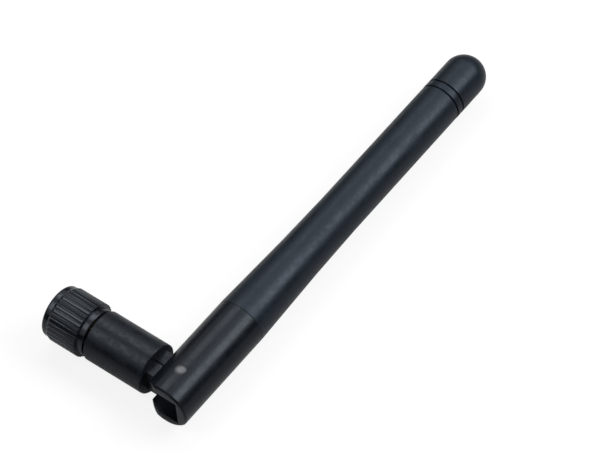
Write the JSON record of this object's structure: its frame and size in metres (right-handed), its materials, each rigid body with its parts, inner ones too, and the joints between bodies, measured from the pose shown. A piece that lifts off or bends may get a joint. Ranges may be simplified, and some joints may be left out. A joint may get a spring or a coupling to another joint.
{
  "type": "swivel dipole antenna",
  "caption": "Tilting and swivelling dipole antenna bent at its hinge: tapered radome blade with a round cap, slotted fork on stub pins, turning barrel and knurled coupling nut.",
  "frame": {"origin": "on the connector's axis where the coupling nut's thread begins, 0.4 mm inside the mouth of the grip", "axes": "+Y along the connector's axis, out of the nut's mouth; +X along the blade from hinge to tip as stored, bent 90 degrees; +Z along the hinge pins, up when the antenna lies on a table"},
  "size_m": [0.0886, 0.0309, 0.01],
  "materials": {
    "radome_plastic": "fine matt moulded grain",
    "cap_plastic": "fine matt moulded grain",
    "fork_plastic": "satin moulded",
    "barrel_plastic": "fine matt moulded grain",
    "grip_plastic": "satin moulded, glossy bands",
    "plated_brass": "gold-flashed turned brass",
    "contact_gold": "gold-plated",
    "spring_bronze": "phosphor bronze spring",
    "radiator_brass": "drawn brass",
    "pin_steel": "dark oxide, worn bright on the dome",
    "insulator_white": "white fluoropolymer",
    "core_dielectric": "white fluoropolymer",
    "bush_plastic": "natural acetal",
    "gasket_rubber": "soft silicone",
    "cable_jacket": "smooth extruded fluoropolymer jacket",
    "heat_shrink": "shrunk polyolefin",
    "spacer_foam": "closed-cell foam"
  },
  "bodies": {
    "connector": {"connector_body": "plated_brass", "contact_insulator": "insulator_white", "centre_contact": "contact_gold", "coax_core": "core_dielectric", "crimp_ferrule": "plated_brass", "nut_snap_ring": "spring_bronze", "sealing_gasket": "gasket_rubber", "coax_base": "cable_jacket"},
    "nut": {"coupling_nut": "plated_brass", "nut_grip": "grip_plastic"},
    "base": {"base_barrel": "barrel_plastic", "swivel_bush": "bush_plastic", "friction_washer": "bush_plastic", "coax_hinge": "cable_jacket"},
    "blade": {"hinge_fork": "fork_plastic", "hinge_pin_upper": "pin_steel", "hinge_pin_lower": "pin_steel", "coax_blade": "cable_jacket", "radome_tube": "radome_plastic", "tip_cap": "cap_plastic", "dipole_sleeve": "radiator_brass", "sleeve_bead": "bush_plastic", "sleeve_spacer": "spacer_foam", "whip_radiator": "radiator_brass", "feed_heat_shrink": "heat_shrink", "tip_spacer": "spacer_foam"}
  },
  "joints": [
    {"name": "nut_spin", "type": "hinge", "parent": "connector", "child": "nut", "pos_m": [0, -0.0063, 0], "axis": [0, 1, 0], "continuous": true},
    {"name": "base_swivel", "type": "hinge", "parent": "connector", "child": "base", "pos_m": [0, -0.0091, 0], "axis": [0, 1, 0], "range_deg": [-180, 180]},
    {"name": "blade_tilt", "type": "hinge", "parent": "base", "child": "blade", "pos_m": [0, -0.02592, 0], "axis": [0, 0, 1], "range_deg": [-90, 0], "deforming": ["coax_hinge"]}
  ]
}
